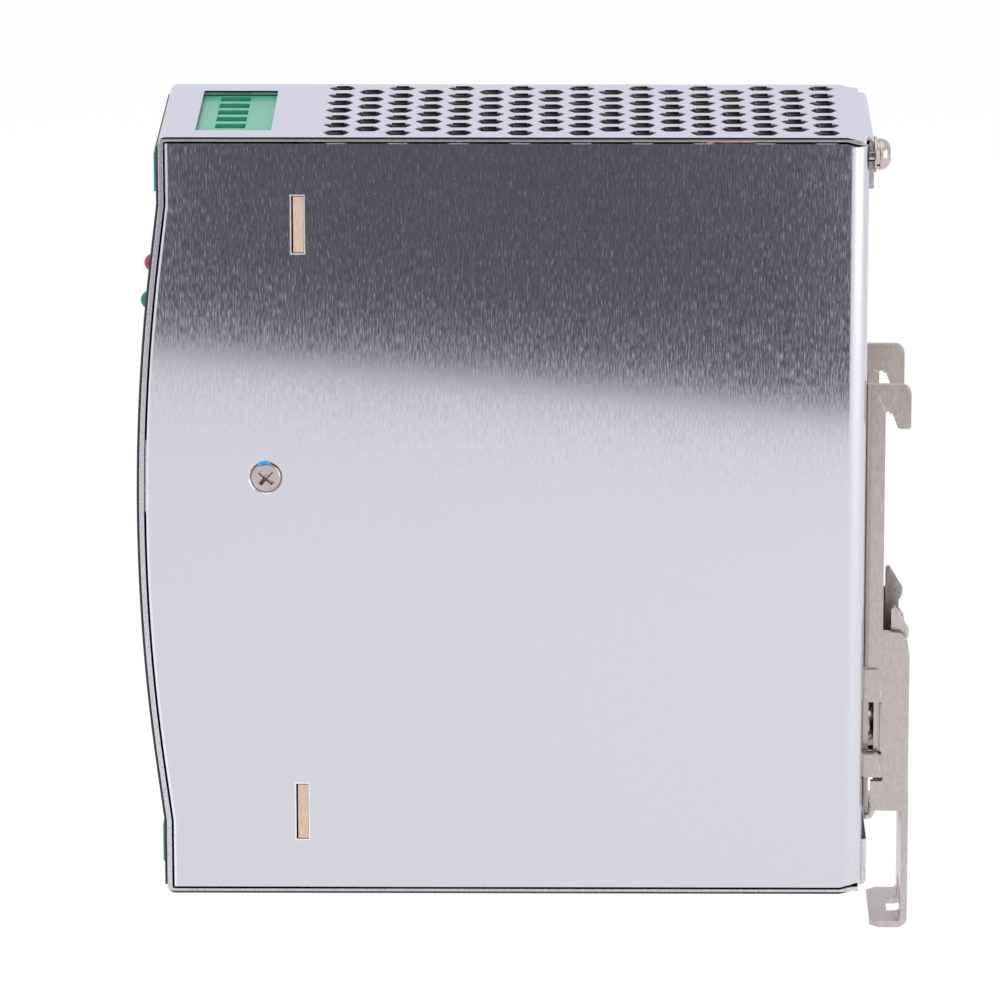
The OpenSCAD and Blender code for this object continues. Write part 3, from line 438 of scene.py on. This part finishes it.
M["terminal_board"] = tb_mat()
M["main_board"] = mb_mat()
M["label"] = label_mat()
M["led_red"] = led_mat("led_red_lens", (0.52, 0.02, 0.035))
M["led_green"] = led_mat("led_green_lens", (0.01, 0.23, 0.12))
M["capacitor_sleeve"] = sleeve_mat("bulk_sleeve", (0.03, 0.032, 0.05), (0.45, 0.46, 0.50), None)
M["capacitor_brown"] = sleeve_mat("output_sleeve", (0.10, 0.050, 0.030), (0.55, 0.48, 0.36), None)
M["copper_wire"] = copper_mat()
M["winding_tape"] = tape_mat()
M["heatsink_aluminium"] = brushed("heatsink_aluminium", (0.60, 0.61, 0.63), 0.36, "Y", 0.4, 3000, 300, 0.08, 0.06, 0.1)


def threadlock_mat():
    m = Mat("thread_lock_blue")
    a = m.noise(m.scaled(2500, 2500, 2500), 1.0, 3.0, 0.6)
    m.set(Base_Color=m.mix(m.map(a, 0.3, 0.7, 0, 1), (0.0, 0.28, 0.60), (0.01, 0.46, 0.80)), Roughness=m.map(a, 0.3, 0.7, 0.25, 0.45), Coat_Weight=0.4, Coat_Roughness=0.1)
    m.link(m.bump(a, 0.3, 0.00006), m.p.inputs["Normal"])
    return m.m


M["threadlock"] = threadlock_mat()

# ------------------------------------------------------------------ carried-over CAD nodes
slots = {s["node"]: s["material_slot"] for s in frame["record"]["subparts"]}
special = {"terminal_board": "terminal_board", "main_board": "main_board", "latch_slider": "slider_steel"}
bevels = {"chassis": 0.24, "cover": 0.14, "front_label": 0.0, "din_bracket": 0.14, "latch_slider": 0.14, "output_block": 0.14, "input_block": 0.14,
          "terminal_board": 0.05, "main_board": 0.05, "film_capacitors": 0.2, "bridge_rectifier": 0.25, "control_chips": 0.1, "transformer_core": 0.3,
          "transformer_winding": 0.3, "primary_heatsink": 0.12, "secondary_heatsink": 0.12, "power_transistors": 0.15, "output_diodes": 0.15,
          "trimmer_body": 0.2, "trimmer_rotor": 0.1, "rear_washers": 0.08, "led_spacers": 0.15, "board_standoffs": 0.1, "fuse": 0.2, "bulk_capacitors": 0.0,
          "choke_core": 0.0}
for k in range(1, 7):
    bevels["output_screw_%d" % k] = 0.08
    bevels["output_clamp_%d" % k] = 0.08
for k in range(1, 4):
    bevels["input_screw_%d" % k] = 0.08
    bevels["input_clamp_%d" % k] = 0.08


def finish_node(o, name):
    o.data.materials.clear()
    o.data.materials.append(M[special.get(name, slots[name] if slots[name] in M else name)])
    for p in o.data.polygons:
        p.use_smooth = True
    w = o.modifiers.new("weld", "WELD")
    w.merge_threshold = 0.000004
    b = bevels.get(name, 0.06)
    if b:
        v = o.modifiers.new("edges", "BEVEL")
        v.width = b * MM
        v.segments = 2
        v.limit_method = "ANGLE"
        v.angle_limit = math.radians(34)
        v.harden_normals = False
        v.use_clamp_overlap = True
        v.miter_outer = "MITER_ARC"
    wn = o.modifiers.new("normals", "WEIGHTED_NORMAL")
    wn.keep_sharp = False
    wn.weight = 60


for name, o in N.items():
    finish_node(o, name)

# ------------------------------------------------------------------ finer pieces
def add(name, node, body, slot, mat, verts, faces, smooth=True, sharp=38):
    me = bpy.data.meshes.new(name)
    me.from_pydata([tuple(v) for v in verts], [], faces)
    me.validate()
    bm = bmesh.new()
    bm.from_mesh(me)
    bmesh.ops.remove_doubles(bm, verts=bm.verts, dist=1e-7)
    bmesh.ops.recalc_face_normals(bm, faces=bm.faces)
    bm.to_mesh(me)
    bm.free()
    for p in me.polygons:
        p.use_smooth = smooth
    if smooth and hasattr(me, "set_sharp_from_angle"):
        me.set_sharp_from_angle(angle=math.radians(sharp))
    me.materials.append(mat)
    o = bpy.data.objects.new(name, me)
    bpy.context.scene.collection.objects.link(o)
    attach(o, body)
    if node:
        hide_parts(node)
    return o


def sstep(a, b, x):
    t = min(1.0, max(0.0, (x - a) / (b - a)))
    return t * t * (3 - 2 * t)


def recess(x, y, turn, L, w, D):
    """Depth of a cross recess at a point of the head."""
    c, s = math.cos(turn), math.sin(turn)
    u, v = c * x + s * y, -s * x + c * y
    d = 0.0
    for a, b in ((u, v), (v, u)):
        taper = w * (1 - 0.12 * abs(a) / L)
        inside = (1 - sstep(L - 0.08, L + 0.05, abs(a))) * (1 - sstep(taper - 0.06, taper + 0.05, abs(b)))
        d = max(d, inside * D * (0.92 - 0.42 * abs(a) / L))
    r = math.hypot(x, y)
    d = max(d, (1 - sstep(w * 0.9, w * 1.85, r)) * D)
    return d


def screw_mesh(head_r, head_h, under, shank_r, shank_l, turn=0.0, L=1.5, w=0.29, D=1.0, pan=True, cone=0.0):
    """Head up along +Z with its underside at z = 0 (pan) or its face at z = 0 (countersunk); millimetres."""
    na, nr = 96, 30
    vs, fs = [], []

    def top(r):
        if pan:
            return head_h * (1 - (r / head_r) ** 3.4) ** 0.5 if r < head_r else 0.0
        return -0.16 * sstep(head_r - 0.24, head_r, r)
    rs = [head_r * (i / nr) ** (0.93 if not pan else 1.0) for i in range(nr + 1)]
    if pan:
        rs = [head_r * math.sin(math.pi / 2 * i / nr) if i > nr * 0.55 else head_r * math.sin(math.pi / 2 * i / nr) for i in range(nr + 1)]
    for r in rs:
        for k in range(na):
            a = 2 * math.pi * k / na
            x, y = r * math.cos(a), r * math.sin(a)
            vs.append((x, y, top(r) - recess(x, y, turn, L, w, D)))
    rings = len(rs)
    tail = []
    if pan:
        tail = [(head_r * 0.985, -0.03 + 0.03), (shank_r, 0.0), (shank_r, -shank_l + 0.4), (shank_r - 0.35, -shank_l)]
    else:
        tail = [(head_r, -0.30), (shank_r, -cone), (shank_r, -shank_l + 0.4), (shank_r - 0.35, -shank_l)]
    for r, z in tail:
        for k in range(na):
            a = 2 * math.pi * k / na
            vs.append((r * math.cos(a), r * math.sin(a), z))
    tot = rings + len(tail)
    for i in range(tot - 1):
        for k in range(na):
            k2 = (k + 1) % na
            fs.append((i * na + k, (i + 1) * na + k, (i + 1) * na + k2, i * na + k2))
    fs.append(tuple((tot - 1) * na + k for k in range(na - 1, -1, -1)))
    return vs, fs


def placed(vs, mat4):
    return [mat4 @ (Vector(v) * MM) for v in vs]


def merge(parts):
    V, F = [], []
    for vs, fs in parts:
        b = len(V)
        V += list(vs)
        F += [tuple(i + b for i in f) for f in fs]
    return V, F


def at(x, y, z, axis, spin=0.0):
    """Frame with +Z along an axis, at a point given in millimetres."""
    q = {"+Y": Matrix.Rotation(-math.pi / 2, 4, "X"), "-Y": Matrix.Rotation(math.pi / 2, 4, "X"),
         "+X": Matrix.Rotation(math.pi / 2, 4, "Y"), "-X": Matrix.Rotation(-math.pi / 2, 4, "Y"), "+Z": Matrix.Identity(4)}[axis]
    return Matrix.Translation(Vector((x, y, z)) * MM) @ q @ Matrix.Rotation(spin, 4, "Z")


YB = -3.2
parts = []
for sx in (-1, 1):
    vs, fs = screw_mesh(2.35, 0, 0, 1.25, 4.6, math.radians(45), 1.42, 0.27, 0.95, False, 1.1)
    parts.append((placed(vs, at(sx * 19.98, -98.9, 8.4, "+X" if sx > 0 else "-X", math.radians(4 * sx))), fs))
add("side_screws_fine", "side_screws", "case", "screw_steel", M["screw_steel"], *merge(parts))
parts = []
for x, y, z, sp in ((15, YB + 0.8 + 0.9, 60.2, 24), (-15, YB + 0.8 + 0.9, -57, 70)):
    vs, fs = screw_mesh(2.5, 1.75, 0, 1.5, 4.6, 0.0, 1.55, 0.30, 1.15)
    parts.append((placed(vs, at(x, y, z, "+Y", math.radians(sp))), fs))
add("rear_screws_fine", "rear_screws", "case", "screw_steel", M["screw_steel"], *merge(parts))
parts = []
for i, (x, z) in enumerate(((-8, 8), (8, 8), (-8, -36), (8, -36))):
    vs, fs = screw_mesh(2.6, 1.6, 0, 1.5, 4.4, 0.0, 1.6, 0.31, 1.1)
    parts.append((placed(vs, at(x, YB + 1.1, z, "+Y", math.radians((12, 51, 33, 78)[i]))), fs))
add("bracket_screws_fine", "bracket_screws", "case", "screw_steel", M["screw_steel"], *merge(parts))


def tube(path, r, n=14, closed=False):
    """Round wire along a list of points (millimetres)."""
    pts = [Vector(p) for p in path]
    V, F = [], []
    m = len(pts)
    prev = None
    for i, p in enumerate(pts):
        a = pts[(i - 1) % m] if closed or i > 0 else p
        b = pts[(i + 1) % m] if closed or i < m - 1 else p
        t = (b - a).normalized()
        if prev is None:
            ref = Vector((0, 0, 1)) if abs(t.z) < 0.9 else Vector((1, 0, 0))
            u = t.cross(ref).normalized()
        else:
            u = (prev - t * prev.dot(t)).normalized()
        prev = u
        w = t.cross(u)
        for k in range(n):
            c = 2 * math.pi * k / n
            V.append((p + u * math.cos(c) * r + w * math.sin(c) * r))
    for i in range(m if closed else m - 1):
        j = (i + 1) % m
        for k in range(n):
            k2 = (k + 1) % n
            F.append((i * n + k, i * n + k2, j * n + k2, j * n + k))
    if not closed:
        F.append(tuple(range(n - 1, -1, -1)))
        F.append(tuple((m - 1) * n + k for k in range(n)))
    return [v * MM for v in V], F


# coil spring with closed end turns
path = []
turns, z0, z1, wr = 9.5, -45.05, -26.85, 0.34
for i in range(int(turns * 28) + 1):
    u = i / (turns * 28)
    t = u * turns
    e0 = 0.9
    if t < e0:
        z = z0 + wr + t / e0 * 0.72 - wr
    elif t > turns - e0:
        z = z1 - (turns - t) / e0 * 0.72
    else:
        z = z0 + 0.72 + (t - e0) / (turns - 2 * e0) * (z1 - z0 - 1.44)
    a = 2 * math.pi * t
    path.append((1.75 * math.cos(a), 0.3 + 1.75 * math.sin(a), z))
vs, fs = tube(path, wr, 12)
sp = add("latch_spring_fine", "latch_spring", "case", "spring_steel", M["spring_steel"], vs, fs, True, 60)
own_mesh(sp)

# thread lock on the rim of the visible side screw
V, F = [], []
nu, nv = 28, 14
for i in range(nu + 1):
    u = i / nu
    a = math.radians(72 + 48 * u)
    for k in range(nv + 1):
        v = k / nv
        r = 2.2 + 0.62 * v
        wob = noise.noise(Vector((u * 6, v * 3, 4.2)))
        h = 0.16 * math.sin(math.pi * u) ** 0.7 * math.sin(math.pi * v) ** 0.6 * (1 + 0.5 * wob)
        rr = r + 0.12 * noise.noise(Vector((u * 5, 9.1, v * 2)))
        base = 19.99 - 0.10 if v < 0.15 else 19.99
        V.append(Vector((base + h, -98.9 + rr * math.cos(a), 8.4 + rr * math.sin(a))) * MM)
for i in range(nu):
    for k in range(nv):
        F.append((i * (nv + 1) + k, (i + 1) * (nv + 1) + k, (i + 1) * (nv + 1) + k + 1, i * (nv + 1) + k + 1))
add("thread_lock", None, "case", "screw_steel", M["threadlock"], V, F, True, 80)

# ------------------------------------------------------------------ wound parts inside
def toroid_wire(cx, cy, cz, r0, r1, h, wr, n, spans, grow=0.0):
    """Wire turns round a ring core whose axis is Y."""
    out = []
    for s0, s1 in spans:
        path = []
        cnt = max(2, int(n * (s1 - s0) / 360))
        steps = 20
        for i in range(cnt * steps + 1):
            t = i / steps
            a = math.radians(s0 + (s1 - s0) * t / cnt)
            q = 2 * math.pi * t
            # rounded rectangle section
            cr, ch = (r0 + r1) / 2, 0
            hw, hh = (r1 - r0) / 2 + wr, h / 2 + wr
            c, s = math.cos(q), math.sin(q)
            k = (abs(c) ** 4 + abs(s) ** 4) ** -0.25
            rr = cr + hw * c * k
            yy = hh * s * k
            path.append((cx + rr * math.cos(a), cy + yy, cz + rr * math.sin(a)))
        out.append(tube(path, wr, 8))
    return merge(out)


def torus_core(cx, cy, cz, r0, r1, h, n=64):
    V, F = [], []
    sec = []
    b = 0.7
    for (sx, sy, a0) in ((1, 1, 0), (-1, 1, 90), (-1, -1, 180), (1, -1, 270)):
        for k in range(5):
            a = math.radians(a0 + 22.5 * k)
            sec.append(((r0 + r1) / 2 + sx * ((r1 - r0) / 2 - b) + b * math.cos(a), sy * (h / 2 - b) + b * math.sin(a)))
    m = len(sec)
    for i in range(n):
        a = 2 * math.pi * i / n
        for r, y in sec:
            V.append(Vector((cx + r * math.cos(a), cy + y, cz + r * math.sin(a))) * MM)
    for i in range(n):
        for k in range(m):
            F.append((i * m + k, i * m + (k + 1) % m, ((i + 1) % n) * m + (k + 1) % m, ((i + 1) % n) * m + k))
    return V, F


MX = -14.0
vs, fs = toroid_wire(MX + 11, -34, -46, 4.4, 8.2, 8, 0.42, 46, ((-50, 50), (130, 230)))
add("choke_winding_fine", "choke_winding", "case", "copper_wire", M["copper_wire"], vs, fs, True, 80)
vs, fs = toroid_wire(MX + 11.2, -25, 48.5, 4.4, 8.9, 8.6, 0.62, 34, ((-70, 250),))
c2 = torus_core(MX + 11.2, -25, 48.5, 4.5, 8.8, 8.4)
add("output_choke_wire", "output_choke", "case", "copper_wire", M["copper_wire"], vs, fs, True, 80)
add("output_choke_core", "output_choke", "case", "ferrite", M["ferrite"], *c2)

# ------------------------------------------------------------------ stage and light
zf = lo0[2] - 0.055
bm = bmesh.new()
bmesh.ops.create_grid(bm, x_segments=2, y_segments=2, size=4.0)
me = bpy.data.meshes.new("floor")
bm.to_mesh(me)
bm.free()
floor = bpy.data.objects.new("floor", me)
bpy.context.scene.collection.objects.link(floor)
floor.location = (0, 0, zf)
fm = Mat("floor_white")
fm.set(Base_Color=(0.955, 0.955, 0.95), Roughness=0.9, Specular_IOR_Level=0.1)
me.materials.append(fm.m)

world = bpy.data.worlds.new("world")
world.use_nodes = True
bg = world.node_tree.nodes["Background"]
bg.inputs[0].default_value = (0.925, 0.925, 0.995, 1)
bg.inputs[1].default_value = 0.985
bpy.context.scene.world = world


def area(name, loc, target, size, power, color=(1, 1, 1), size_y=None, spread=180):
    d = bpy.data.lights.new(name, "AREA")
    d.shape = "RECTANGLE"
    d.size = size
    d.size_y = size_y or size
    d.energy = power
    d.color = color
    d.spread = math.radians(spread)
    o = bpy.data.objects.new(name, d)
    bpy.context.scene.collection.objects.link(o)
    o.location = loc
    o.rotation_euler = (Vector(target) - Vector(loc)).to_track_quat("-Z", "Y").to_euler()
    o.visible_camera = False
    return o


area("key_top", (0.10, -0.15, 1.3), (0, -0.05, 0), 1.6, 5.5)
side = area("side_right", (0.45, 0.62, 0.05), (0.0, -0.02, 0.0), 0.75, 2.8, size_y=0.9)


def card(name, corners, col):
    """A dark card in the studio that only mirror-like surfaces see."""
    me = bpy.data.meshes.new(name)
    me.from_pydata([Vector(c) for c in corners], [], [tuple(range(len(corners)))])
    o = bpy.data.objects.new(name, me)
    bpy.context.scene.collection.objects.link(o)
    m = bpy.data.materials.new(name)
    m.use_nodes = True
    m.node_tree.nodes.clear()
    out = m.node_tree.nodes.new("ShaderNodeOutputMaterial")
    em = m.node_tree.nodes.new("ShaderNodeEmission")
    em.inputs[0].default_value = (*col, 1)
    m.node_tree.links.new(em.outputs[0], out.inputs[0])
    me.materials.append(m)
    o.visible_camera = False
    o.visible_diffuse = False
    o.visible_shadow = False
    o.visible_transmission = False
    return o


card("dark_card", [(0.15, -0.140, -0.0015), (0.15, 0.014, -0.0161), (0.15, 0.014, 0.13), (0.15, -0.140, 0.13)], (0.125, 0.117, 0.145))
